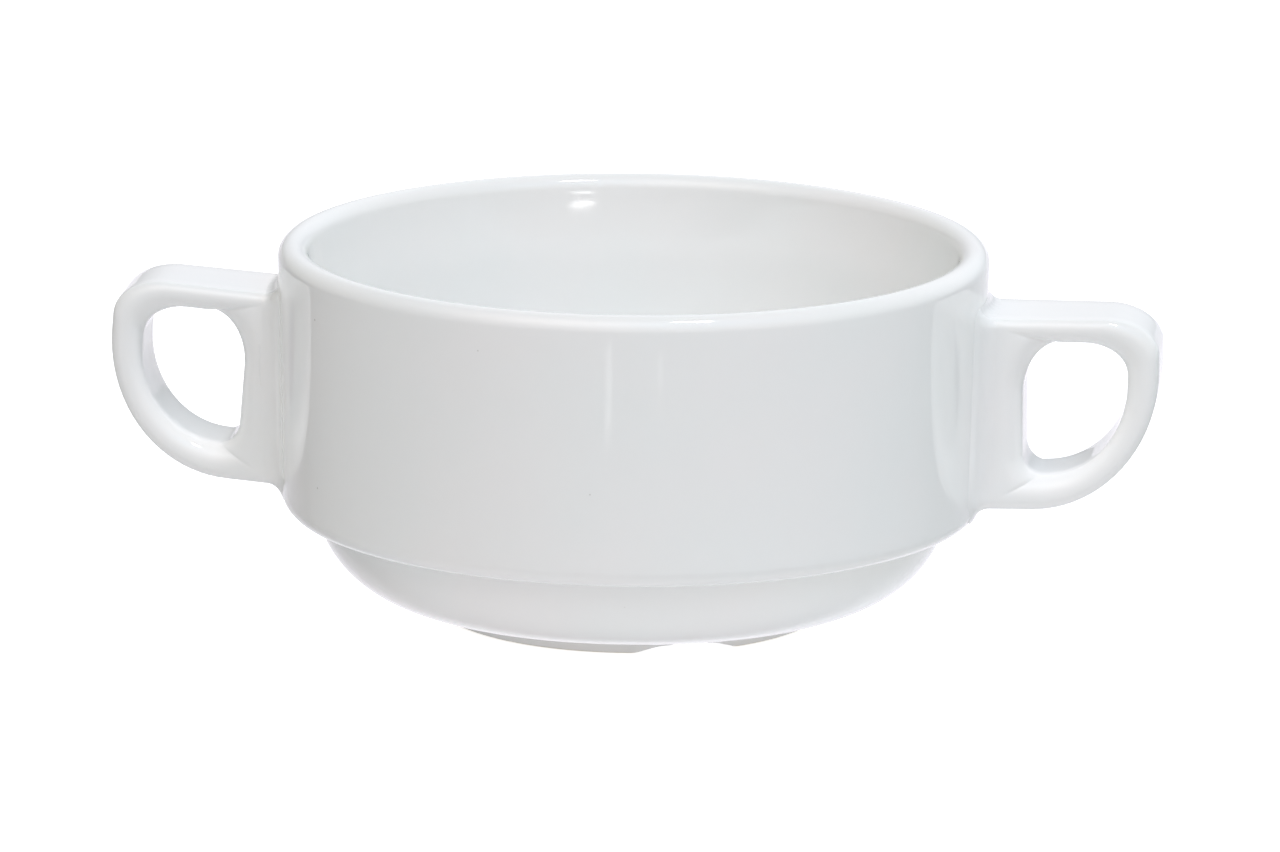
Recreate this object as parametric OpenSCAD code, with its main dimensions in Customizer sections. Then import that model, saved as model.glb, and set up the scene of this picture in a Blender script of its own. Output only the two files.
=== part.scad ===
// Two-handled stacking soup cup in glazed porcelain: a roller-formed bowl with a cast lug on each side,
// each lug stuck to the wall by a layer of casting slip. The lugs lie along X, and the origin is on the
// table under the middle of the bowl.

/* [Bowl] */
// Outside diameter at the rim
rim_d = 106; // [96:1:116]
// Height from the table to the top of the rim
bowl_h = 55.8; // [53:0.2:66]
// Thickness of the wall, which ends in a full round at the rim
wall_t = 4.5; // [3.8:0.1:5.2]
// How far the wall leans in towards the foot, in degrees from upright
wall_lean = 1.1; // [0.4:0.1:2]
// Height of the inside floor above the table
floor_z = 6.6; // [6:0.1:8]
// Radius of the curve from the inside floor up to the wall
inside_r = 25; // [18:0.5:26]

/* [Stacking step] */
// Height above the table of the step that rests on the rim of the cup below
step_z = 15.4; // [14:0.2:16.4]
// Rounding of the wall's lower edge, above the step
step_edge_r = 2.6; // [1.6:0.1:3.4]
// Fillet in the corner under the step
step_fillet_r = 0.8; // [0.4:0.1:1.2]
// Gap all round between the lower bowl and the rim of the cup that it stacks in
stack_gap = 0.9; // [0.6:0.1:1.4]

/* [Lower bowl and foot] */
// Radius of the lower bowl's side
side_r = 15.5; // [14.5:0.5:18]
// Depth of the foot ring below the lower bowl
foot_h = 2.6; // [2.3:0.1:3.2]
// Outside diameter of the foot ring's standing face
foot_d = 57.2; // [48:0.2:60]
// Width of the foot ring's standing face
foot_w = 2.6; // [1.6:0.1:4]
// Slope of the foot ring's flanks, in degrees from the table
foot_slope = 57; // [45:1:75]
// Rounding of the foot ring's lower edges
foot_edge_r = 0.7; // [0.4:0.1:1]
// Depth of the recess under the floor
recess_h = 2.2; // [2:0.1:2.3]

/* [Drain notches] */
// Number of notches that drain the upturned foot
notch_n = 3; // [2:1:4]
// Depth of a notch
notch_h = 1.5; // [1:0.1:1.9]
// Radius of the round cutter that leaves a notch
notch_r = 20; // [12:1:28]
// Direction of the first notch, in degrees from X
notch_turn = -67; // [-90:1:90]

/* [Lugs] */
// Length of a lug from the wall to its tip
lug_l = 26.4; // [22:0.2:32]
// Height of a lug
lug_h = 29.9; // [28:0.1:31]
// Height of a lug's middle above the table
lug_mid_z = 33; // [32.4:0.1:34]
// Width of a lug at its tip
lug_w = 12.4; // [10:0.2:15]
// Extra width of a lug where it meets the wall
lug_spread = 1.4; // [0:0.1:3]
// Rounding of a lug's outer edges
lug_edge_r = 1.9; // [1:0.1:2]

/* [Finger holes] */
// Thickness of the strap over the hole
strap_t = 4.2; // [4.1:0.1:5]
// Thickness of the strap at the tip
tip_t = 4.8; // [4.4:0.1:6]
// Thickness of the strap under the hole
heel_t = 5.7; // [5:0.1:6.6]
// Thickness of the post between the wall and the hole
post_t = 6.1; // [5:0.1:7]
// Rounding of the hole's edges
hole_edge_r = 2; // [1:0.1:2.1]

/* [Setting of the lugs] */
// Upward tilt of the right lug, in degrees
right_tilt = 0.2; // [0:0.2:5]
// Upward tilt of the left lug, which was stuck on by hand a little askew
left_tilt = 4.6; // [0:0.2:5]
// How much deeper the left lug's root was trimmed before it was stuck on
left_trim = 0.4; // [0:0.1:1]

/* [Slip joints] */
// Thickness of the slip between a lug and the wall
slip_t = 0.4; // [0.3:0.1:0.8]
// How far the slip is squeezed out round a lug
slip_bead = 0.8; // [0.4:0.1:1.4]

/* [Hidden] */
$fn = 144;
// Overrun of every cut
over = lug_edge_r/2;
// Colours of the white glaze and of the fired slip under it
glaze_colour = "white";
slip_colour = "whitesmoke";

// Direction at a degrees from the first axis of an outline
function direction(a) = [cos(a), sin(a)];
// Arc about c, in steps of about arc_step degrees
arc_step = 5;
function arc(c, r, from, to) = let (n = ceil(abs(to - from)/arc_step))
    [for (i = [0:n]) c + r*direction(from + (to - from)*i/n)];

// Centre of the round that ends the wall
rim_r = wall_t/2;
rim_c = [rim_d/2 - rim_r, bowl_h - rim_r];
// Radius of the wall's outer and inner face at a height
function outer_r(z) = rim_c[0] + rim_r/cos(wall_lean) - (rim_c[1] - z)*tan(wall_lean);
function inner_r(z) = outer_r(z) - wall_t/cos(wall_lean);

// Centre of a circle of radius r that touches the wall's outer or inner face from inside, at a height
function touch_outer(z, r) = [outer_r(z) - r/cos(wall_lean), z];
function touch_inner(z, r) = [inner_r(z) - r/cos(wall_lean), z];
edge_c = touch_outer(step_z + step_edge_r, step_edge_r);
hollow_c = touch_inner(floor_z + inside_r, inside_r);

// The lower bowl fits inside the rim of the cup below
lower_r = rim_c[0] - rim_r - stack_gap;
side_c = [lower_r - side_r, foot_h + side_r];
fillet_z = step_z - step_fillet_r;
fillet_c = [side_c[0] + sqrt(pow(side_r + step_fillet_r, 2) - pow(side_c[1] - fillet_z, 2)), fillet_z];

// Centres of the foot ring's two rounded edges, and the radii where its flanks meet the bowl and the recess
foot_out_c = [foot_d/2, foot_edge_r];
foot_in_c = [foot_d/2 - foot_w, foot_edge_r];
function flank_run(z) = let (edge_top = foot_edge_r*(1 - cos(foot_slope)))
    foot_edge_r*sin(foot_slope) + (z - edge_top)/tan(foot_slope);
foot_root_out = foot_out_c[0] + flank_run(foot_h);
foot_root_in = foot_in_c[0] - flank_run(recess_h);

// Outline with an elliptical corner in each quarter, as [centre x, centre z, half width, half height].
// Its box is [low x, high x, low z, high z]. A corner takes its shares of the box's width and height.
function outline(box, shares) = [for (q = [0:3]) let (
        w = shares[q][0]*(box[1] - box[0]),
        h = shares[q][1]*(box[3] - box[2]),
        outward = q == 0 || q == 3,
        upward = q < 2
    ) [outward ? box[1] - w : box[0] + w, upward ? box[3] - h : box[2] + h, w, h]];
// Point of that outline in quarter q, where its outward direction is a degrees from X
function outline_point(corners, q, a) = let (c = corners[q])
    [c[0], c[1]] + [c[2]*c[2]*cos(a), c[3]*c[3]*sin(a)]/norm([c[2]*cos(a), c[3]*sin(a)]);

// Places along a lug, from the bowl's axis. Its outline runs on into the wall, where the wall cuts it.
lug_wall_x = outer_r(lug_mid_z);
lug_tip_x = lug_wall_x + lug_l;
lug_root_x = lug_wall_x - wall_t;
lug_box = [lug_root_x, lug_tip_x, lug_mid_z - lug_h/2, lug_mid_z + lug_h/2];
hole_box = [lug_wall_x + post_t, lug_tip_x - tip_t, lug_box[2] + heel_t, lug_box[3] - strap_t];
// Corners from the upper tip round to the lower tip, where the D has its long belly
lug_corner_shares = [[0.26, 0.21], [0.1, 0.1], [0.1, 0.1], [0.62, 0.73]];
hole_corner_shares = [[0.44, 0.24], [0.385, 0.38], [0.175, 0.19], [0.8, 0.68]];
lug_outline = outline(lug_box, lug_corner_shares);
hole_outline = outline(hole_box, hole_corner_shares);
// Sections in each corner of a lug's ring, and steps in each rounded edge
corner_n = 16;
edge_n = 5;

// Half the width of a lug at a distance from the axis
function half_width(x) = (lug_w + lug_spread*(lug_tip_x - x)/(lug_tip_x - lug_wall_x))/2;

// One section of the ring: the hole's edge, the face and the outer edge, and back along the other face
turns = [for (i = [0:edge_n]) 90*i/edge_n];
function hole_edge(q, a) = [for (t = turns)
    [outline_point(hole_outline, q, a) + hole_edge_r*(1 - cos(t))*direction(a), hole_edge_r*(1 - sin(t))]];
function outer_edge(q, a) = [for (t = reversed(turns))
    [outline_point(lug_outline, q, a) - lug_edge_r*(1 - cos(t))*direction(a), lug_edge_r*(1 - sin(t))]];
function face_side(q, a, side) = [for (p = concat(hole_edge(q, a), outer_edge(q, a)))
    [p[0][0], side*(half_width(p[0][0]) - p[1]), p[0][1]]];
function reversed(list) = [for (i = [len(list) - 1:-1:0]) list[i]];
function section(q, a) = concat(face_side(q, a, -1), reversed(face_side(q, a, 1)));

// A closed band of sections, each joined to the next by triangles
module ring(sections) {
    n = len(sections);
    m = len(sections[0]);
    faces = [for (i = [0:n - 1], j = [0:m - 1])
        let (a = i*m + j, b = i*m + (j + 1)%m, c = (i + 1)%n*m + (j + 1)%m, d = (i + 1)%n*m + j)
        each [[a, b, c], [a, c, d]]];
    polyhedron(points = [for (s = sections) each s], faces = faces);
}

// The solid inside the wall's outer face, grown by a layer
module wall_space(layer) {
    swing = lug_l*sin(max(left_tilt, right_tilt));
    low_z = lug_box[2] - swing - slip_bead - over;
    high_z = lug_box[3] + swing + slip_bead + over;
    grow = layer/cos(wall_lean);
    rotate_extrude()
        polygon([
            [0, low_z], [outer_r(low_z) + grow, low_z],
            [outer_r(high_z) + grow, high_z], [0, high_z]
        ]);
}

// Tilts a lug about the middle of its seat on the wall, and moves it in by what was trimmed off its root
module tilted(tilt, trim)
    translate([lug_wall_x - trim, 0, lug_mid_z]) rotate([0, -tilt, 0])
    translate([-lug_wall_x, 0, -lug_mid_z])
    children();

// Half section of the bowl: the recess, the foot, up the outside, over the rim and down the inside
fillet_turn = atan2(fillet_c[1] - side_c[1], fillet_c[0] - side_c[0]);
bowl_half = concat(
    [[0, recess_h], [foot_root_in, recess_h]],
    arc(foot_in_c, foot_edge_r, -90 - foot_slope, -90),
    arc(foot_out_c, foot_edge_r, -90, foot_slope - 90),
    [[foot_root_out, foot_h]],
    arc(side_c, side_r, -90, fillet_turn),
    arc(fillet_c, step_fillet_r, 180 + fillet_turn, 90),
    arc(edge_c, step_edge_r, -90, -wall_lean),
    arc(rim_c, rim_r, -wall_lean, 180 - wall_lean),
    arc(hollow_c, inside_r, -wall_lean, -90),
    [[0, floor_z]]
);

module bowl_body() {
    color(glaze_colour)
    difference() {
        rotate_extrude() polygon(bowl_half);
        for (i = [0:notch_n - 1])
            rotate([0, 0, notch_turn + i*360/notch_n])
            translate([foot_root_in - over, 0, notch_h - notch_r])
            rotate([0, 90, 0])
            cylinder(r = notch_r, h = foot_root_out - foot_root_in + 2*over);
    }
}

// A lug on the +X side: a ring round the finger hole, cut to the wall and its layer of slip
module lug(tilt, trim) {
    color(glaze_colour)
    difference() {
        tilted(tilt, trim) ring([for (q = [0:3], i = [0:corner_n]) section(q, 90*(q + i/corner_n))]);
        wall_space(slip_t);
    }
}

// The slip of a lug on the +X side: a rounded patch of the layer over the wall
module slip_joint(tilt, trim) {
    patch_r = lug_edge_r + slip_bead;
    half_w = half_width(lug_wall_x) - lug_edge_r;
    half_h = lug_h/2 - lug_edge_r;
    color(slip_colour)
    intersection() {
        difference() {
            wall_space(slip_t);
            wall_space(0);
        }
        tilted(tilt, trim) translate([lug_root_x, 0, lug_mid_z]) rotate([90, 0, 90])
        linear_extrude(lug_tip_x - lug_root_x) {
            square([2*(half_w + patch_r), 2*half_h], center = true);
            square([2*half_w, 2*(half_h + patch_r)], center = true);
            for (y = [-half_w, half_w], z = [-half_h, half_h]) translate([y, z]) circle(patch_r);
        }
    }
}

module right_lug() lug(right_tilt, 0);
module left_lug() mirror([1, 0, 0]) lug(left_tilt, left_trim);
module right_slip_joint() slip_joint(right_tilt, 0);
module left_slip_joint() mirror([1, 0, 0]) slip_joint(left_tilt, left_trim);

bowl_body();
left_lug();
right_lug();
left_slip_joint();
right_slip_joint();
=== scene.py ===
"""Looks of a two-handled stacking soup cup in glazed porcelain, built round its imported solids.

The bowl is lathed, each lug is lofted round its finger hole, and a fillet of slip joins each lug to the wall.
Everything is in metres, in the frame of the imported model: lugs along X, origin on the table under the bowl.
"""

import math

import bmesh
import bpy
from mathutils import Matrix, Vector, noise


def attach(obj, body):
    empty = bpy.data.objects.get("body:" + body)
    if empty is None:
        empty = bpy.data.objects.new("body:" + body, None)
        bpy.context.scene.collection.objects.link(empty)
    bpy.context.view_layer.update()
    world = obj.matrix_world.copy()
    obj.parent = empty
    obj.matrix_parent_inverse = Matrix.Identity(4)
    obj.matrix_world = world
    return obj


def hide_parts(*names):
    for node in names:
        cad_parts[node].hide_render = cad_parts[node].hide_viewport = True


bl_info = {
    "name": "Lug soup bowl",
    "version": (1, 0, 0),
    "blender": (4, 5, 0),
    "location": "3D View > Sidebar > Soup bowl",
    "description": "Builds a two-handled stacking soup cup with its glaze and a studio",
    "category": "Add Mesh",
}

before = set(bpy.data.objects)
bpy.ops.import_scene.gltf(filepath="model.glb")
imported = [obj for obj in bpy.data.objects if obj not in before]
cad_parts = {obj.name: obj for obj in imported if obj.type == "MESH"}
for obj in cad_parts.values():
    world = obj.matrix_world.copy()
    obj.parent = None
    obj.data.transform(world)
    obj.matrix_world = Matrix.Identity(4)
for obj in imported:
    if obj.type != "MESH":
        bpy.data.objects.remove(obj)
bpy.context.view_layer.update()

MM = 0.001


# Sizes and colours that a user would change


def length(name, description, default_mm):
    """A length property, given in millimetres and kept in metres."""
    return bpy.props.FloatProperty(
        name=name, description=description, default=default_mm * MM, min=0.0, precision=5, unit="LENGTH"
    )


def angle(name, description, default_degrees):
    """An angle property, given in degrees."""
    return bpy.props.FloatProperty(
        name=name, description=description, default=math.radians(default_degrees), subtype="ANGLE"
    )


def colour(hex_value):
    """sRGB hex to linear RGBA."""
    parts = [int(hex_value[i : i + 2], 16) / 255 for i in (1, 3, 5)]
    return tuple(c / 12.92 if c <= 0.04045 else ((c + 0.055) / 1.055) ** 2.4 for c in parts) + (1.0,)


def tint(name, description, hex_value):
    """A colour property, given as an sRGB hex value."""
    return bpy.props.FloatVectorProperty(
        name=name, description=description, default=colour(hex_value), size=4, min=0.0, max=1.0, subtype="COLOR"
    )


class SoupBowlBody(bpy.types.PropertyGroup):
    """Sizes of the roller-formed bowl."""

    rim_d: length("Rim diameter", "Outside diameter at the rim", 106)
    height: length("Height", "Height from the table to the top of the rim", 55.8)
    wall: length("Wall", "Thickness of the wall and of its rounded rim", 4.5)
    lean: angle("Lean", "How far the wall leans in towards the foot", 1.1)
    floor_z: length("Inside floor", "Height of the inside floor above the table", 6.6)
    inside_r: length("Inside curve", "Radius from the inside floor up to the wall", 25)
    flare: angle("Inside flare", "How far the inside opens just under the rim", 7.4)
    flare_low: angle("Flare end", "How far the inside opens at the flare's lower end", 9.4)
    flare_r: length("Flare radius", "Radius of the hollow flare", 209)
    blend_r: length("Flare blend", "Radius from the flare to the wall under it", 30)
    step_z: length("Step height", "Height of the stacking step above the table", 15.4)
    step_edge_r: length("Step edge", "Rounding of the wall's lower edge", 2.6)
    step_fillet_r: length("Step fillet", "Fillet in the corner under the step", 0.8)
    stack_gap: length("Stack gap", "Gap round the lower bowl inside the rim of the cup below", 0.9)
    side_r: length("Lower side", "Radius of the lower bowl's side", 15.5)
    foot_h: length("Foot height", "Depth of the foot ring below the lower bowl", 2.6)
    foot_d: length("Foot diameter", "Outside diameter of the foot's standing face", 57.2)
    foot_w: length("Foot width", "Width of the foot's standing face", 2.6)
    foot_slope: angle("Foot slope", "Slope of the foot ring's flanks", 57)
    foot_edge_r: length("Foot edge", "Rounding of the foot ring's lower edges", 0.7)
    recess_h: length("Recess", "Depth of the recess under the floor", 2.2)
    notch_h: length("Notch depth", "Depth of a drain notch in the foot", 1.5)
    notch_r: length("Notch radius", "Radius of the round cutter of a drain notch", 20)
    notch_turn: angle("Notch turn", "Direction of the first drain notch", -67)
    notch_n: bpy.props.IntProperty(name="Notches", description="Number of drain notches", default=3, min=1)


class SoupBowlLugs(bpy.types.PropertyGroup):
    """Sizes of the two cast lugs and of their slip joints."""

    length: length("Length", "Length of a lug from the wall to its tip", 26.4)
    height: length("Height", "Height of a lug", 29.0)
    mid_z: length("Middle", "Height of a lug's middle above the table", 32.93)
    width: length("Width", "Width of a lug at its tip", 15.1)
    spread: length("Spread", "Extra width of a lug where it meets the wall", 1.6)
    edge_r: length("Outer edge", "Largest rounding of a lug's outer edges", 2.2)
    strap: length("Strap", "Thickness of the strap over the finger hole", 3.55)
    tip: length("Tip", "Thickness of the strap at the tip", 4.7)
    heel: length("Heel", "Thickness of the strap under the finger hole", 5.05)
    post: length("Post", "Thickness of the post between the wall and the finger hole", 6.2)
    hole_edge_r: length("Hole edge", "Largest rounding of the finger hole's edges", 3.4)
    right_tilt: angle("Right tilt", "Upward tilt of the right lug", 0.75)
    left_tilt: angle("Left tilt", "Upward tilt of the left lug, stuck on a little askew", 4.45)
    left_trim: length("Left trim", "How much deeper the left lug's root was trimmed", 0.72)
    fillet: length("Slip fillet", "Radius of the slip that is wiped round a lug's root", 2.8)


class SoupBowlFinish(bpy.types.PropertyGroup):
    """Colours of the porcelain and the studio."""

    glaze: tint("Glaze", "White porcelain seen through its clear glaze", "#FAFAF9")
    glaze_pool: tint("Pooled glaze", "The same white where the glaze lies thicker", "#F8FAF9")
    fleck: tint("Fleck", "A fleck of iron or a pinhole in the glaze", "#A9A79D")
    bisque: tint("Bisque", "Unglazed porcelain of the wiped foot", "#E2DDD0")
    paper: tint("Paper", "The white paper that the bowl stands on", "#F2F2F2")


# Outlines


# degrees between the points of an arc
ARC_STEP = 4
SMALL_ARC_STEP = 10
BLEND_STEP = 1
FLARE_STEP = 0.25


def arc(centre, radius, start, end, step=ARC_STEP):
    """Points of an arc from start to end, in degrees, step degrees apart."""
    n = max(1, math.ceil(abs(end - start) / step))
    turns = [math.radians(start + (end - start) * i / n) for i in range(n + 1)]
    return [(centre[0] + radius * math.cos(t), centre[1] + radius * math.sin(t)) for t in turns]


def wall_r(s, z):
    """Radius of the wall's outer face at a height."""
    r = s.wall / 2
    return s.rim_d / 2 - r + r / math.cos(s.lean) - (s.height - r - z) * math.tan(s.lean)


def bowl_profile(s):
    """Half section of the bowl, from its recess round the foot, up the outside, over the rim and down the inside."""
    lean, slope = math.degrees(s.lean), math.degrees(s.foot_slope)
    cos_lean = math.cos(s.lean)
    rim_r = s.wall / 2
    rim_c = (s.rim_d / 2 - rim_r, s.height - rim_r)

    def touch(z, r):
        return (wall_r(s, z) - r / cos_lean, z)

    edge_c = touch(s.step_z + s.step_edge_r, s.step_edge_r)
    # under the rim the inside opens a little more than the outside does
    flare, flare_low = math.degrees(s.flare), math.degrees(s.flare_low)
    away = rim_r + s.flare_r
    flare_c = (rim_c[0] - away * math.cos(s.flare), rim_c[1] + away * math.sin(s.flare))
    hollow_flare = arc(flare_c, s.flare_r, -flare, -flare_low, FLARE_STEP)
    end_x, end_z = hollow_flare[-1]
    blend_c = (end_x + s.blend_r * math.cos(s.flare_low), end_z - s.blend_r * math.sin(s.flare_low))
    blend = arc(blend_c, s.blend_r, 180 - flare_low, 180 - lean, BLEND_STEP)
    hollow_z = s.floor_z + s.inside_r
    hollow_x = blend[-1][0] - (blend[-1][1] - hollow_z) * math.tan(s.lean) - s.inside_r / cos_lean
    side_c = (rim_c[0] - rim_r - s.stack_gap - s.side_r, s.foot_h + s.side_r)
    fillet_z = s.step_z - s.step_fillet_r
    rise = fillet_z - side_c[1]
    fillet_c = (side_c[0] + math.sqrt((s.side_r + s.step_fillet_r) ** 2 - rise**2), fillet_z)
    fillet_turn = math.degrees(math.atan2(rise, fillet_c[0] - side_c[0]))

    def flank_run(z):
        low = s.foot_edge_r * (1 - math.cos(s.foot_slope))
        return s.foot_edge_r * math.sin(s.foot_slope) + (z - low) / math.tan(s.foot_slope)

    foot_out = (s.foot_d / 2, s.foot_edge_r)
    foot_in = (s.foot_d / 2 - s.foot_w, s.foot_edge_r)
    root_fillet = s.foot_edge_r
    corner_in = foot_in[0] - flank_run(s.recess_h)
    corner_out = foot_out[0] + flank_run(s.foot_h)
    # the two corners at the foot's root are softened, as a sponge leaves them
    slide = root_fillet * math.tan(s.foot_slope / 2)
    in_c = (corner_in - slide, s.recess_h - root_fillet)
    out_c = (corner_out + slide, s.foot_h - root_fillet)
    points = [(0.0, s.recess_h)]
    points += arc(in_c, root_fillet, 90, 90 - slope)
    points += arc(foot_in, s.foot_edge_r, -90 - slope, -90)
    points += arc(foot_out, s.foot_edge_r, -90, slope - 90)
    points += arc(out_c, root_fillet, 90 + slope, 90)
    points += arc(side_c, s.side_r, -90, fillet_turn)
    points += arc(fillet_c, s.step_fillet_r, 180 + fillet_turn, 90, SMALL_ARC_STEP)
    points += arc(edge_c, s.step_edge_r, -90, -lean)
    points += arc(rim_c, rim_r, -lean, 180 - flare)
    points += hollow_flare[1:] + blend[1:]
    points += arc((hollow_x, hollow_z), s.inside_r, -lean, -90)
    points += [(0.0, s.floor_z)]
    return points


def divided(points, step):
    """The same outline with its long stretches divided into steps of about that length."""
    out = [points[0]]
    for a, b in zip(points, points[1:]):
        n = max(1, round(math.dist(a, b) / step))
        out += [tuple(p + (q - p) * i / n for p, q in zip(a, b)) for i in range(1, n + 1)]
    return out


# Meshes

PROFILE_STEP = 1.5 * MM
LATHE_STEPS = 288
MERGE_DISTANCE = 1e-6
NOTCH_LIP = 0.3 * MM
# how far a cut-out reaches: in the foot's widths inwards and outwards, and in cutter radii along the ring
NOTCH_REACH = (3, 2)
NOTCH_HALF_WIDTH = 0.75
WARP_SIZE = 22 * MM
WARP_DEPTH = 0.05 * MM
# width and height of each rounded corner as shares of the outline, from the upper tip round by the root
LUG_CORNER_SHARES = [(0.257, 0.19), (0.1, 0.1), (0.1, 0.1), (0.617, 0.73)]
HOLE_CORNER_SHARES = [(0.45, 0.25), (0.39, 0.4), (0.19, 0.17), (0.8, 0.68)]
# largest roundings as shares of the strap's thickness
OUTER_EDGE_SHARE = 0.36
HOLE_EDGE_SHARE = 0.56
LUG_EDGE_STEPS = 8
LUG_FACE_STEPS = 3
LUG_BURY = 0.4 * MM
FILLET_BURY = 0.25 * MM
FILLET_STEP = 0.8 * MM
FILLET_ARC_STEPS = 9
FILLET_CORNER_STEPS = 12
FILLET_TURNS = (6, 65)
# the fillet is this share of its radius above and below the lug, and grows by the other beside it
FILLET_SHARES = (0.72, 0.28)
FILLET_TRIES = 4


def finish_piece(bm, name, nodes, material):
    """Turns a bmesh into a smooth piece that stands for CAD nodes."""
    hand_made(bm)
    for face in bm.faces:
        face.smooth = True
    mesh = bpy.data.meshes.new(name)
    bm.to_mesh(mesh)
    bm.free()
    mesh.materials.append(material)
    piece = bpy.data.objects.new(name, mesh)
    bpy.context.scene.collection.objects.link(piece)
    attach(piece, "root")
    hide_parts(*nodes)
    return piece


def hand_made(bm):
    """Moves the surface in and out a little, as on clay that warped in drying and firing."""
    bm.normal_update()
    moves = [v.normal * WARP_DEPTH * noise.noise(v.co / WARP_SIZE) for v in bm.verts]
    for vert, move in zip(bm.verts, moves):
        vert.co += move


def bowl_bmesh(s):
    """The bowl, lathed about Z."""
    bm = bmesh.new()
    verts = [bm.verts.new((r, 0.0, z)) for r, z in divided(bowl_profile(s), PROFILE_STEP)]
    edges = [bm.edges.new(pair) for pair in zip(verts, verts[1:])]
    bmesh.ops.spin(
        bm, geom=verts + edges, cent=(0, 0, 0), axis=(0, 0, 1), dvec=(0, 0, 0),
        angle=2 * math.pi, steps=LATHE_STEPS, use_merge=True, use_duplicate=False,
    )
    bmesh.ops.remove_doubles(bm, verts=bm.verts, dist=MERGE_DISTANCE)
    bmesh.ops.recalc_face_normals(bm, faces=bm.faces)
    cut_notches(bm, s)
    return bm


def cut_notches(bm, s):
    """Lifts the foot ring's standing face over each round cutter, with the soft lip that a wet sponge leaves."""
    lip = NOTCH_LIP
    low_r, high_r = s.foot_d / 2 - NOTCH_REACH[0] * s.foot_w, s.foot_d / 2 + NOTCH_REACH[1] * s.foot_w
    turns = [s.notch_turn + 2 * math.pi * i / s.notch_n for i in range(s.notch_n)]
    for vert in bm.verts:
        x, y, z = vert.co
        if z > s.foot_h or not low_r < math.hypot(x, y) < high_r:
            continue
        for turn in turns:
            along = x * math.cos(turn) + y * math.sin(turn)
            across = y * math.cos(turn) - x * math.sin(turn)
            if along < 0 or abs(across) > NOTCH_HALF_WIDTH * s.notch_r:
                continue
            cutter = s.notch_h - s.notch_r + math.sqrt(s.notch_r**2 - across**2)
            lift = ((cutter - z) + math.sqrt((cutter - z) ** 2 + lip**2)) / 2
            idle = lip**2 / (4 * max(lip, z - cutter)) if cutter < z else 0.0
            vert.co.z += max(0.0, lift - idle)


def corners(box, shares):
    """Outline with an elliptical corner in each quarter: (centre x, centre z, half width, half height)."""
    low_x, high_x, low_z, high_z = box
    out = []
    for q, (share_w, share_h) in enumerate(shares):
        w, h = share_w * (high_x - low_x), share_h * (high_z - low_z)
        x = high_x - w if q in (0, 3) else low_x + w
        z = high_z - h if q in (0, 1) else low_z + h
        out.append((x, z, w, h))
    return out


def corner_point(corner, a):
    """Point of an elliptical corner where its outward direction is at angle a."""
    x, z, w, h = corner
    reach = math.hypot(w * math.cos(a), h * math.sin(a))
    return Vector((x + w * w * math.cos(a) / reach, z + h * h * math.sin(a) / reach))


def lug_stations(outer, hole, turns_n=20, straight_n=6):
    """(point of the outline, point of the hole, outward direction) all the way round a lug."""
    out = []
    for q in range(4):
        for i in range(turns_n + 1):
            a = math.pi / 2 * (q + i / turns_n)
            direction = Vector((math.cos(a), math.sin(a)))
            out.append((corner_point(outer[q], a), corner_point(hole[q], a), direction))
        a = math.pi / 2 * (q + 1)
        here, ahead = out[-1], (corner_point(outer[(q + 1) % 4], a), corner_point(hole[(q + 1) % 4], a))
        for i in range(1, straight_n):
            t = i / straight_n
            out.append((here[0].lerp(ahead[0], t), here[1].lerp(ahead[1], t), here[2]))
    return out


def lug_shape(s, body):
    """The lug's box and half-width rule: (low x, high x, low z, high z), width at x, x of the wall."""
    wall_x = wall_r(body, s.mid_z)
    tip_x = wall_x + s.length
    box = (wall_x - body.wall / 2, tip_x, s.mid_z - s.height / 2, s.mid_z + s.height / 2)

    def half_width(x):
        return (s.width + s.spread * (tip_x - x) / s.length) / 2

    return box, half_width, wall_x


def outer_edge_r(s, thick):
    """Rounding of the outer edge where the strap is that thick."""
    return min(s.edge_r, OUTER_EDGE_SHARE * thick)


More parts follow.
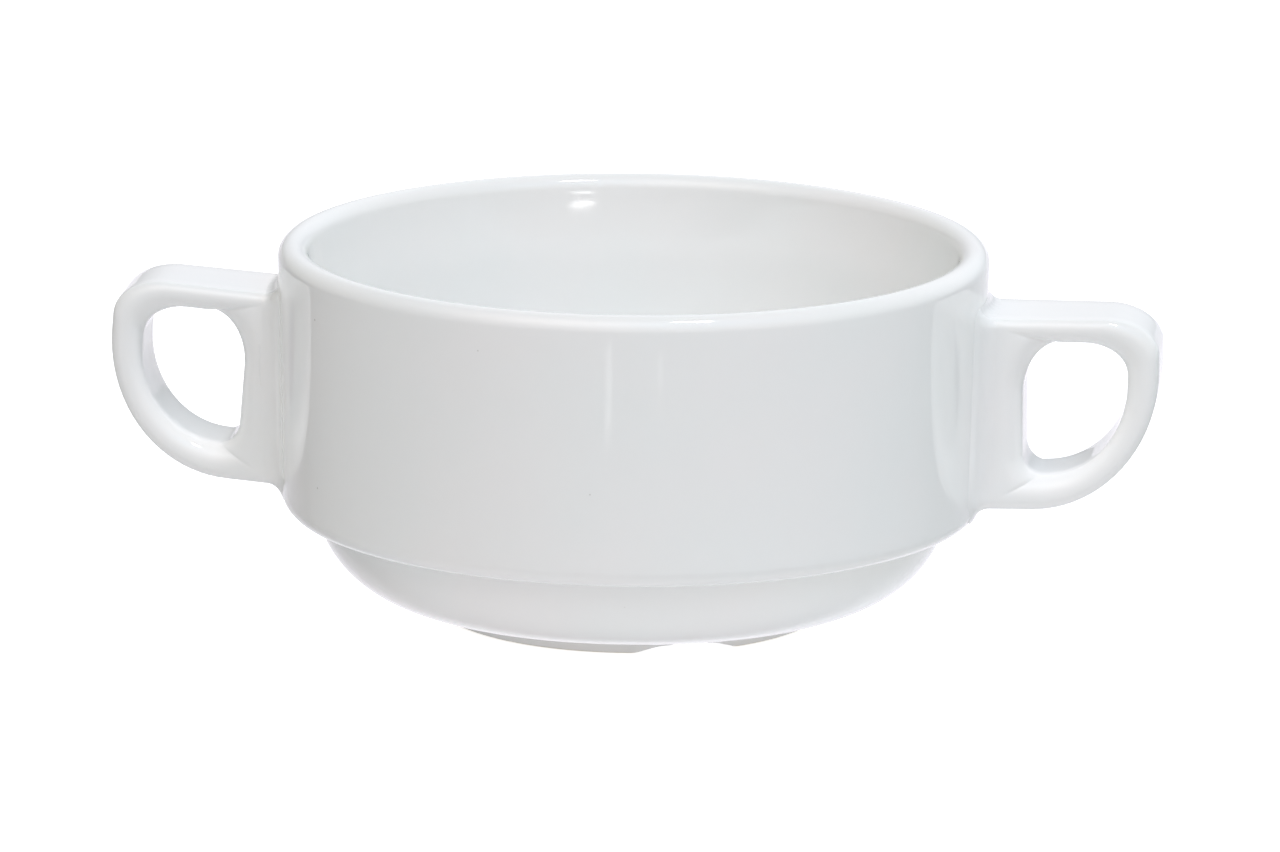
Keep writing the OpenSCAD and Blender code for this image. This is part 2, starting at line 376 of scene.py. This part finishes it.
def lug_bmesh(s, body, tilt, trim):
    """A lug on the +X side: sections round the finger hole, bridged into a ring and fitted to the wall."""
    box, half_width, wall_x = lug_shape(s, body)
    full_box = (wall_x - body.wall, *box[1:])
    hole_box = (wall_x + s.post, box[1] - s.tip, box[2] + s.heel, box[3] - s.strap)
    outer = corners(full_box, LUG_CORNER_SHARES)
    hole = corners(hole_box, HOLE_CORNER_SHARES)
    turns = [math.pi / 2 * i / LUG_EDGE_STEPS for i in range(LUG_EDGE_STEPS + 1)]
    bm = bmesh.new()
    loops = []
    for out_p, hole_p, direction in lug_stations(outer, hole):
        thick = (out_p - hole_p).dot(direction)
        hole_r = min(s.hole_edge_r, HOLE_EDGE_SHARE * thick)
        edge_r = outer_edge_r(s, thick)
        inner_edge = [
            (hole_p.lerp(out_p, hole_r / thick * (1 - math.cos(t))), hole_r * (1 - math.sin(t))) for t in turns
        ]
        outer_edge = [
            (out_p.lerp(hole_p, edge_r / thick * (1 - math.cos(t))), edge_r * (1 - math.sin(t)))
            for t in reversed(turns)
        ]
        face = [
            (inner_edge[-1][0].lerp(outer_edge[0][0], i / LUG_FACE_STEPS), 0.0) for i in range(1, LUG_FACE_STEPS)
        ]
        half = inner_edge + face + outer_edge
        front = [(p, -(half_width(p[0]) - d)) for p, d in half]
        back = [(p, half_width(p[0]) - d) for p, d in reversed(half)]
        verts = [bm.verts.new((p[0], y, p[1])) for p, y in with_middles(front, back)]
        loops.append([bm.edges.new(pair) for pair in zip(verts, verts[1:] + verts[:1])])
    for here, ahead in zip(loops, loops[1:] + loops[:1]):
        bmesh.ops.bridge_loops(bm, edges=here + ahead)
    bmesh.ops.remove_doubles(bm, verts=bm.verts, dist=MERGE_DISTANCE)
    seat = Matrix.Translation((wall_x, 0, s.mid_z))
    set_in = Matrix.Translation((-trim, 0, 0))
    place = set_in @ seat @ Matrix.Rotation(-tilt, 4, "Y") @ seat.inverted()
    bmesh.ops.transform(bm, matrix=place, verts=bm.verts)
    bmesh.ops.recalc_face_normals(bm, faces=bm.faces)
    # the root follows the leaning, round wall, just under its surface
    for vert in bm.verts:
        radius = wall_r(body, vert.co.z) - LUG_BURY
        if math.hypot(vert.co.x, vert.co.y) < radius:
            vert.co.x = math.sqrt(radius**2 - vert.co.y**2)
    return bm


def with_middles(front, back, middle_n=5):
    """The section's points in order, with the flat stretches across the strap divided."""
    def between(a, b):
        return [(a[0].lerp(b[0], i / middle_n), a[1] + (b[1] - a[1]) * i / middle_n) for i in range(1, middle_n)]

    return front + between(front[-1], back[0]) + back + between(back[-1], front[0])


def fillet_bmesh(s, body, tilt, trim):
    """The wiped fillet of slip round a lug's root, on the +X side: concave sections swept round the root."""
    box, half_width, wall_x = lug_shape(s, body)
    half_h, half_w = s.height / 2, half_width(wall_x)
    path = []
    for side, level, start in ((1, 1, 0), (-1, 1, 90), (-1, -1, 180), (1, -1, 270)):
        corner = outer_edge_r(s, s.strap if level > 0 else s.heel)
        centre_y, centre_z = side * (half_w - corner), level * (half_h - corner)
        for i in range(FILLET_CORNER_STEPS + 1):
            a = math.radians(start + 90 * i / FILLET_CORNER_STEPS)
            out = Vector((math.cos(a), math.sin(a)))
            path.append((Vector((centre_y, centre_z)) + corner * out, out))
    stations = []
    for (p, out_p), (q, out_q) in zip(path, path[1:] + path[:1]):
        n = max(1, round((q - p).length / FILLET_STEP))
        stations += [(p.lerp(q, i / n), out_p.lerp(out_q, i / n).normalized()) for i in range(n)]
    bury, arc_n = FILLET_BURY, FILLET_ARC_STEPS
    start_turn, end_turn = (math.radians(turn) for turn in FILLET_TURNS)
    bm = bmesh.new()
    loops = []
    for point, out in stations:
        r = s.fillet * (FILLET_SHARES[0] + FILLET_SHARES[1] * abs(out[0]))
        turns = [start_turn + (end_turn - start_turn) * i / arc_n for i in range(arc_n + 1)]
        section = [(r - r * math.sin(t), r - r * math.cos(t)) for t in turns]
        low, high = section[-1], section[0]
        sunk = (low[0] + bury) / math.cos(end_turn)
        buried = (-bury, low[1] + sunk * math.sin(end_turn))
        dip = (high[1] + bury / 5) / math.sin(start_turn)
        toe = (high[0] + dip * math.cos(start_turn), -bury / 5)
        toe_middle = ((toe[0] + high[0]) / 2, (toe[1] + high[1]) / 2)
        buried_middle = ((low[0] + buried[0]) / 2, (low[1] + buried[1]) / 2)
        section = [toe, toe_middle] + section + [buried_middle, buried, (-bury, -bury), (toe[0], -bury)]
        verts = []
        for from_wall, from_lug in section:
            across = point[1] + out[1] * from_lug
            run = 0.0
            # find where the tilted lug's surface meets the round, leaning wall
            for _ in range(FILLET_TRIES):
                y = point[0] * half_width(wall_x + run + from_wall) / half_width(wall_x) + out[0] * from_lug
                z = s.mid_z + across * math.cos(tilt) + run * math.sin(tilt)
                x = math.sqrt(wall_r(body, z) ** 2 - y**2)
                run = (x - wall_x + trim + across * math.sin(tilt)) / math.cos(tilt)
            verts.append(bm.verts.new((x + from_wall * math.cos(tilt), y, z + from_wall * math.sin(tilt))))
        loops.append([bm.edges.new(pair) for pair in zip(verts, verts[1:] + verts[:1])])
    for here, ahead in zip(loops, loops[1:] + loops[:1]):
        bmesh.ops.bridge_loops(bm, edges=here + ahead)
    bmesh.ops.recalc_face_normals(bm, faces=bm.faces)
    return bm


def both_sides(scene, make):
    """The left piece and then the right one, from a function that makes a piece on the +X side."""
    s = scene.soupbowl_lugs
    for side, tilt, trim in (("left", s.left_tilt, s.left_trim), ("right", s.right_tilt, 0.0)):
        bm = make(s, scene.soupbowl_body, tilt, trim)
        if side == "left":
            bmesh.ops.scale(bm, vec=(-1, 1, 1), verts=bm.verts)
            bmesh.ops.recalc_face_normals(bm, faces=bm.faces)
        yield side, bm


# Materials


def add_node(tree, kind, settings=None, links=None, **values):
    """Adds a shader node, sets its attributes and inputs, and links inputs from sockets."""
    node = tree.nodes.new(kind)
    for key, value in (settings or {}).items():
        setattr(node, key, value)
    for key, value in values.items():
        node.inputs[key.replace("_", " ")].default_value = value
    for key, socket in (links or {}).items():
        tree.links.new(socket, node.inputs[key])
    return node


def new_material(name):
    """An empty node material, its tree and its output."""
    material = bpy.data.materials.new(name)
    material.use_nodes = True
    tree = material.node_tree
    tree.nodes.clear()
    return material, tree, add_node(tree, "ShaderNodeOutputMaterial")


def glazed_porcelain(f, name, bump_mm, bump_depth):
    """Hotel porcelain under a clear glaze: white, with a wet gloss, a faint orange peel and a few tiny flecks."""
    material, tree, out = new_material(name)
    place = add_node(tree, "ShaderNodeTexCoord").outputs["Object"]
    # the glaze lies a little thicker in slow drifts, about 25 mm across, and looks cooler there
    drift = add_node(tree, "ShaderNodeTexNoise", None, {"Vector": place}, Scale=1 / (25 * MM), Detail=2.0)
    drift_mix = add_node(
        tree, "ShaderNodeMapRange", None, {"Value": drift.outputs["Fac"]},
        **{"From_Min": 0.35, "From_Max": 0.65},
    )
    body = add_node(tree, "ShaderNodeMix", {"data_type": "RGBA"}, {0: drift_mix.outputs["Result"]})
    body.inputs[6].default_value = f.glaze
    body.inputs[7].default_value = f.glaze_pool
    # flecks of iron and pinholes, 0.25 mm across and some 9 mm apart
    cells = add_node(tree, "ShaderNodeTexVoronoi", None, {"Vector": place}, Scale=1 / (9 * MM), Randomness=1.0)
    fleck = add_node(
        tree, "ShaderNodeMapRange", None, {"Value": cells.outputs["Distance"]},
        **{"From_Min": 0.01, "From_Max": 0.022, "To_Min": 0.55, "To_Max": 0.0},
    )
    flecked = add_node(
        tree, "ShaderNodeMix", {"data_type": "RGBA"}, {0: fleck.outputs["Result"], 6: body.outputs[2]}
    )
    flecked.inputs[7].default_value = f.fleck
    # the standing face is wiped clean of glaze, up to a slightly uneven line 0.2 mm up the foot
    split = add_node(tree, "ShaderNodeSeparateXYZ", None, {"Vector": place})
    waver = add_node(tree, "ShaderNodeTexNoise", None, {"Vector": place}, Scale=1 / (3 * MM))
    line = add_node(tree, "ShaderNodeMath", {"operation": "MULTIPLY_ADD"}, {0: waver.outputs["Fac"]})
    line.inputs[1].default_value = 0.12 * MM
    line.inputs[2].default_value = 0.12 * MM
    wiped = add_node(
        tree, "ShaderNodeMath", {"operation": "LESS_THAN"}, {0: split.outputs["Z"], 1: line.outputs[0]}
    )
    shade = add_node(tree, "ShaderNodeMix", {"data_type": "RGBA"}, {0: wiped.outputs[0], 6: flecked.outputs[2]})
    shade.inputs[7].default_value = f.bisque
    rough = add_node(
        tree, "ShaderNodeMapRange", None, {"Value": wiped.outputs[0]}, **{"To_Min": 0.045, "To_Max": 0.8}
    )
    peel = add_node(
        tree, "ShaderNodeTexNoise", None, {"Vector": place}, Scale=1 / (bump_mm * MM), Detail=1.0, Roughness=0.4
    )
    bump = add_node(
        tree, "ShaderNodeBump", None, {"Height": peel.outputs["Fac"]}, Strength=1.0, Distance=bump_depth * MM
    )
    porcelain = add_node(
        tree, "ShaderNodeBsdfPrincipled", None,
        {"Base Color": shade.outputs[2], "Roughness": rough.outputs["Result"], "Normal": bump.outputs["Normal"]},
        IOR=1.5,
    )
    tree.links.new(porcelain.outputs[0], out.inputs["Surface"])
    return material


def studio_paper(f):
    """Matt paper that glows white to the camera, so the bowl's shadow doesn't show. The glaze sees past it."""
    material, tree, out = new_material("matt white paper")
    path = add_node(tree, "ShaderNodeLightPath")
    back = add_node(tree, "ShaderNodeNewGeometry")
    paper = add_node(tree, "ShaderNodeBsdfDiffuse")
    paper.inputs["Color"].default_value = f.paper
    # painted light: to other rays it glows only in a pool under the bowl, as on a light table, and so brightens the
    # bowl's foot and underside
    place = add_node(tree, "ShaderNodeTexCoord").outputs["Object"]
    reach = add_node(tree, "ShaderNodeVectorMath", {"operation": "LENGTH"}, {0: place})
    pool = add_node(
        tree, "ShaderNodeMapRange", {"interpolation_type": "SMOOTHSTEP"}, {"Value": reach.outputs["Value"]},
        **{"From_Min": POOL_R[0], "From_Max": POOL_R[1], "To_Min": PAINTED_POOL_GLOW, "To_Max": 0.0},
    )
    level = add_node(
        tree, "ShaderNodeMapRange", None,
        {"Value": path.outputs["Is Camera Ray"], "To Min": pool.outputs["Result"]}, To_Max=PAPER_GLOW,
    )
    glow = add_node(tree, "ShaderNodeEmission", None, {"Strength": level.outputs["Result"]})
    white = add_node(tree, "ShaderNodeAddShader")
    tree.links.new(paper.outputs[0], white.inputs[0])
    tree.links.new(glow.outputs[0], white.inputs[1])
    clear = add_node(tree, "ShaderNodeBsdfTransparent")
    through = add_node(
        tree, "ShaderNodeMath", {"operation": "MAXIMUM"},
        {0: path.outputs["Is Glossy Ray"], 1: back.outputs["Backfacing"]},
    )
    sheet = add_node(tree, "ShaderNodeMixShader", None, {0: through.outputs[0]})
    tree.links.new(white.outputs[0], sheet.inputs[1])
    tree.links.new(clear.outputs[0], sheet.inputs[2])
    tree.links.new(sheet.outputs[0], out.inputs["Surface"])
    return material


# strength of the paper's glow to the camera, of its painted pool of light under the bowl, the pool's full and outer
# radius, and the sheet's side
PAPER_GLOW = 0.68
PAINTED_POOL_GLOW = 0.28
POOL_R = (0.03, 0.08)
PAPER_SIZE = 12.0


# Studio


def bearing(azimuth, elevation):
    """Direction in the model's frame, from degrees right of the camera and degrees above the horizon."""
    a, e = math.radians(azimuth), math.radians(elevation)
    return turned((math.sin(a) * math.cos(e), -math.cos(a) * math.cos(e), math.sin(e)))


def studio_world():
    """Broad soft lights over the horizon, and below it what only the gloss shows of the room."""
    world = bpy.data.worlds.new("studio")
    bpy.context.scene.world = world
    world.use_nodes = True
    tree = world.node_tree
    tree.nodes.clear()
    out = add_node(tree, "ShaderNodeOutputWorld")
    path = add_node(tree, "ShaderNodeLightPath")
    heading = add_node(tree, "ShaderNodeTexCoord").outputs["Generated"]

    def facing(direction):
        node = add_node(tree, "ShaderNodeVectorMath", {"operation": "DOT_PRODUCT"}, {0: heading})
        node.inputs[1].default_value = direction
        return node.outputs["Value"]

    def maths(operation, *terms):
        node = add_node(tree, "ShaderNodeMath", {"operation": operation})
        for i, term in enumerate(terms):
            if isinstance(term, (int, float)):
                node.inputs[i].default_value = term
            else:
                tree.links.new(term, node.inputs[i])
        return node.outputs[0]

    def tinted(amount, light_colour, rest):
        """Adds an amount of a colour to the light so far."""
        node = add_node(tree, "ShaderNodeVectorMath", {"operation": "MULTIPLY_ADD"}, {0: amount})
        node.inputs[1].default_value = light_colour
        if rest is not None:
            tree.links.new(rest, node.inputs[2])
        return node.outputs[0]

    up = facing((0, 0, 1))
    above = maths("GREATER_THAN", up, 0.0)
    light = None
    for azimuth, elevation, narrowness, light_colour in SOFT_LIGHTS:
        lobe = maths("POWER", maths("MAXIMUM", facing(bearing(azimuth, elevation)), 0.0), narrowness)
        light = tinted(maths("MULTIPLY", lobe, above), light_colour, light)
    # below the horizon only glossy rays see light: a band by azimuth, and an even light from under
    turn = maths("ARCTAN2", facing(bearing(90, 0)), facing(bearing(0, 0)))
    round_way = maths("MULTIPLY_ADD", turn, 0.5 / math.pi, 0.5)
    band = add_node(tree, "ShaderNodeValToRGB", None, {"Fac": round_way})
    stops = band.color_ramp.elements
    while len(stops) < len(LOW_BAND) + 1:
        stops.new(1.0)
    for i in range(len(LOW_BAND) + 1):
        stops[i].position = i / len(LOW_BAND)
        grey = LOW_BAND[i % len(LOW_BAND)] / LOW_SCALE
        stops[i].color = (grey * LOW_TINT[0], grey * LOW_TINT[1], grey * LOW_TINT[2], 1.0)
    low = add_node(
        tree, "ShaderNodeMapRange", {"interpolation_type": "SMOOTHSTEP"}, {"Value": up},
        **{"From_Min": LOW_WINDOW[0], "From_Max": LOW_WINDOW[1]},
    ).outputs["Result"]
    gloss = maths("MULTIPLY", path.outputs["Is Glossy Ray"], maths("SUBTRACT", 1.0, above))
    shown = add_node(
        tree, "ShaderNodeVectorMath", {"operation": "SCALE"},
        {0: band.outputs["Color"], "Scale": maths("MULTIPLY", low, maths("MULTIPLY", gloss, LOW_SCALE))},
    )
    under = maths("MULTIPLY", gloss, maths("SUBTRACT", 1.0, low))
    light = tinted(under, UNDER_LIGHT, light)
    light = add_node(
        tree, "ShaderNodeVectorMath", {"operation": "ADD"}, {0: light, 1: shown.outputs[0]}
    ).outputs[0]
    # glints that only glossy rays see
    for azimuth, elevation, half_width, half_height, strength in GLINTS:
        aside = maths("DIVIDE", maths("SUBTRACT", turn, math.radians(azimuth)), math.radians(half_width))
        rise = maths("SUBTRACT", up, math.sin(math.radians(elevation)))
        over = maths("DIVIDE", rise, math.radians(half_height))
        off = maths("ADD", maths("MULTIPLY", aside, aside), maths("MULTIPLY", over, over))
        glint = add_node(
            tree, "ShaderNodeMapRange", {"interpolation_type": "SMOOTHSTEP"}, {"Value": off},
            **{"From_Min": GLINT_CORE, "From_Max": 1.0, "To_Min": strength, "To_Max": 0.0},
        ).outputs["Result"]
        light = tinted(maths("MULTIPLY", glint, path.outputs["Is Glossy Ray"]), (1.0, 1.0, 1.0), light)
    soft = add_node(tree, "ShaderNodeBackground", None, {"Color": light}, Strength=1.0)
    white = add_node(tree, "ShaderNodeBackground", None, None, Strength=1.0)
    white.inputs["Color"].default_value = (1, 1, 1, 1)
    by_camera = add_node(tree, "ShaderNodeMixShader", None, {0: path.outputs["Is Camera Ray"]})
    tree.links.new(soft.outputs[0], by_camera.inputs[1])
    tree.links.new(white.outputs[0], by_camera.inputs[2])
    tree.links.new(by_camera.outputs[0], out.inputs["Surface"])


# The strengths and colours of the lights were fitted to the photograph's levels, then rounded and trimmed.
# (degrees right of the camera, degrees up, narrowness, colour) of each soft light
SOFT_LIGHTS = (
    (-135, 20, 8, (0.43, 0.43, 0.39)),
    (0, 20, 8, (0.53, 0.42, 0.40)),
    (45, 20, 8, (0.36, 0.29, 0.22)),
    (90, 20, 8, (0.31, 0.34, 0.26)),
    (135, 20, 8, (1.07, 1.10, 1.16)),
    (180, 20, 8, (0.83, 0.83, 0.88)),
    (-30, 55, 10, (2.05, 1.88, 1.66)),
    (0, 55, 10, (0.30, 0.30, 0.34)),
    (30, 55, 10, (0.09, 0.55, 0.94)),
    (180, 55, 10, (0.14, 0.19, 0.21)),
)
# brightness of the room below the horizon, every 15 degrees from behind the bowl round by its left
LOW_BAND = (
    1.16, 0.85, 0.46, 0, 0, 0, 0, 0, 0, 0, 0, 0,
    0, 0, 0, 0, 0, 0, 0, 0, 0.04, 0.33, 0.71, 1,
)
LOW_SCALE = 1.16
LOW_TINT = (0.99, 0.97, 1.04)
# sines of the elevations between which the band fades in over the light from under
LOW_WINDOW = (-0.82, -0.57)
UNDER_LIGHT = (0.32, 0.28, 0.34)
# (degrees right of the camera, degrees up, half width, half height, strength) of each glint
GLINTS = (
    (18.7, 4.0, 6.0, 0.26, 12.0),
    (-7.9, -14.95, 1.4, 0.17, 3.0),
    (8.6, -14.95, 1.2, 0.15, 2.5),
)
# share of a glint's squared radius that has its full strength
GLINT_CORE = 0.4
# the key lamp: its direction as the camera stands, its distance, diameter, power and colour
KEY_WAY = (0.2, -0.2, 0.956)
KEY_DISTANCE = 1.5
KEY_SIZE = 0.2
KEY_POWER = 6.7
KEY_COLOUR = (1.000, 0.925, 0.938)
# the photograph's camera: angles in radians, lengths in metres, and its focal length in the photo's pixels
CAMERA_TURN = 0.105
CAMERA_TILT = 0.230
CAMERA_ROLL = 0.010
CAMERA_DISTANCE = 1.49765
CAMERA_AIM_Z = 0.025
CAMERA_PIXELS = 10010.0
AIM_PIXEL = (631.98, 443.53)
PHOTO_SIZE = (1280, 852)
SENSOR = 36.0
CAMERA_CLIP = (0.05, 50.0)


def turned(v):
    """A direction given as the camera stands, in the model's frame."""
    return Matrix.Rotation(CAMERA_TURN, 3, "Z") @ Vector(v)


def studio_camera():
    """The camera at the photograph's angle, with its distance and lens."""
    forward = turned((0, math.cos(CAMERA_TILT), -math.sin(CAMERA_TILT)))
    right = turned((1, 0, 0))
    up = right.cross(forward)
    cos_roll, sin_roll = math.cos(CAMERA_ROLL), math.sin(CAMERA_ROLL)
    right, up = cos_roll * right + sin_roll * up, cos_roll * up - sin_roll * right
    offset_x = (AIM_PIXEL[0] - PHOTO_SIZE[0] / 2) / CAMERA_PIXELS
    offset_y = (AIM_PIXEL[1] - PHOTO_SIZE[1] / 2) / CAMERA_PIXELS
    look = (forward - offset_x * right + offset_y * up).normalized()
    right = (right - look * look.dot(right)).normalized()
    up = right.cross(look)
    data = bpy.data.cameras.new("photograph camera")
    data.sensor_width = SENSOR
    data.lens = CAMERA_PIXELS / PHOTO_SIZE[0] * SENSOR
    data.clip_start, data.clip_end = CAMERA_CLIP
    camera = bpy.data.objects.new("photograph camera", data)
    bpy.context.scene.collection.objects.link(camera)
    turn = Matrix((right, up, -look)).transposed().to_4x4()
    camera.matrix_world = Matrix.Translation(Vector((0, 0, CAMERA_AIM_Z)) - CAMERA_DISTANCE * forward) @ turn
    bpy.context.scene.camera = camera


# Operators


class SOUPBOWL_OT_bowl(bpy.types.Operator):
    """Lathe the bowl and cut the drain notches in its foot"""

    bl_idname = "soupbowl.bowl"
    bl_label = "Bowl"

    def execute(self, context):
        scene = context.scene
        material = glazed_porcelain(scene.soupbowl_finish, "glazed hotel porcelain", 7.0, 0.012)
        bm = bowl_bmesh(scene.soupbowl_body)
        finish_piece(bm, "bowl", ("bowl_body",), material)
        return {"FINISHED"}


class SOUPBOWL_OT_lugs(bpy.types.Operator):
    """Cast the two lugs"""

    bl_idname = "soupbowl.lugs"
    bl_label = "Lugs"

    def execute(self, context):
        scene = context.scene
        material = glazed_porcelain(scene.soupbowl_finish, "glazed cast porcelain", 5.0, 0.012)
        for side, bm in both_sides(scene, lug_bmesh):
            finish_piece(bm, f"{side}_cast_lug", (f"{side}_lug",), material)
        return {"FINISHED"}


class SOUPBOWL_OT_slip_joints(bpy.types.Operator):
    """Stick the lugs on with slip and wipe its fillet round"""

    bl_idname = "soupbowl.slip_joints"
    bl_label = "Slip joints"

    def execute(self, context):
        scene = context.scene
        material = glazed_porcelain(scene.soupbowl_finish, "glazed wiped slip", 1.2, 0.03)
        for side, bm in both_sides(scene, fillet_bmesh):
            finish_piece(bm, f"{side}_slip_fillet", (f"{side}_slip_joint",), material)
        return {"FINISHED"}


class SOUPBOWL_OT_studio(bpy.types.Operator):
    """Set up the white paper, the lamps and the camera"""

    bl_idname = "soupbowl.studio"
    bl_label = "Studio"

    def execute(self, context):
        scene = context.scene
        bm = bmesh.new()
        bmesh.ops.create_grid(bm, x_segments=1, y_segments=1, size=PAPER_SIZE / 2)
        mesh = bpy.data.meshes.new("paper")
        bm.to_mesh(mesh)
        bm.free()
        mesh.materials.append(studio_paper(scene.soupbowl_finish))
        paper = bpy.data.objects.new("paper", mesh)
        scene.collection.objects.link(paper)
        data = bpy.data.lights.new("round key lamp", "AREA")
        data.shape, data.size, data.energy, data.color = "DISK", KEY_SIZE, KEY_POWER, KEY_COLOUR
        lamp = bpy.data.objects.new("round key lamp", data)
        scene.collection.objects.link(lamp)
        way = turned(KEY_WAY).normalized()
        lamp.location = way * KEY_DISTANCE
        lamp.rotation_mode = "QUATERNION"
        lamp.rotation_quaternion = way.to_track_quat("Z", "Y")
        studio_world()
        studio_camera()
        scene.view_settings.view_transform = "Standard"
        return {"FINISHED"}


class SOUPBOWL_PT_panel(bpy.types.Panel):
    """Sizes, colours and steps of the soup bowl"""

    bl_idname = "SOUPBOWL_PT_panel"
    bl_label = "Lug soup bowl"
    bl_space_type = "VIEW_3D"
    bl_region_type = "UI"
    bl_category = "Soup bowl"

    def draw(self, context):
        layout = self.layout
        for group in (context.scene.soupbowl_body, context.scene.soupbowl_lugs, context.scene.soupbowl_finish):
            box = layout.box()
            for name in group.__annotations__:
                box.prop(group, name)
        for step in STEPS:
            layout.operator(step.bl_idname)


STEPS = (SOUPBOWL_OT_bowl, SOUPBOWL_OT_lugs, SOUPBOWL_OT_slip_joints, SOUPBOWL_OT_studio)
GROUPS = {"soupbowl_body": SoupBowlBody, "soupbowl_lugs": SoupBowlLugs, "soupbowl_finish": SoupBowlFinish}


def register():
    for cls in (*GROUPS.values(), *STEPS, SOUPBOWL_PT_panel):
        bpy.utils.register_class(cls)
    for name, group in GROUPS.items():
        setattr(bpy.types.Scene, name, bpy.props.PointerProperty(type=group))


def unregister():
    for name in GROUPS:
        delattr(bpy.types.Scene, name)
    for cls in reversed((*GROUPS.values(), *STEPS, SOUPBOWL_PT_panel)):
        bpy.utils.unregister_class(cls)


def main():
    register()
    bpy.ops.soupbowl.bowl()
    bpy.ops.soupbowl.lugs()
    bpy.ops.soupbowl.slip_joints()
    bpy.ops.soupbowl.studio()
    bpy.context.view_layer.update()


if __name__ == "__main__":
    main()
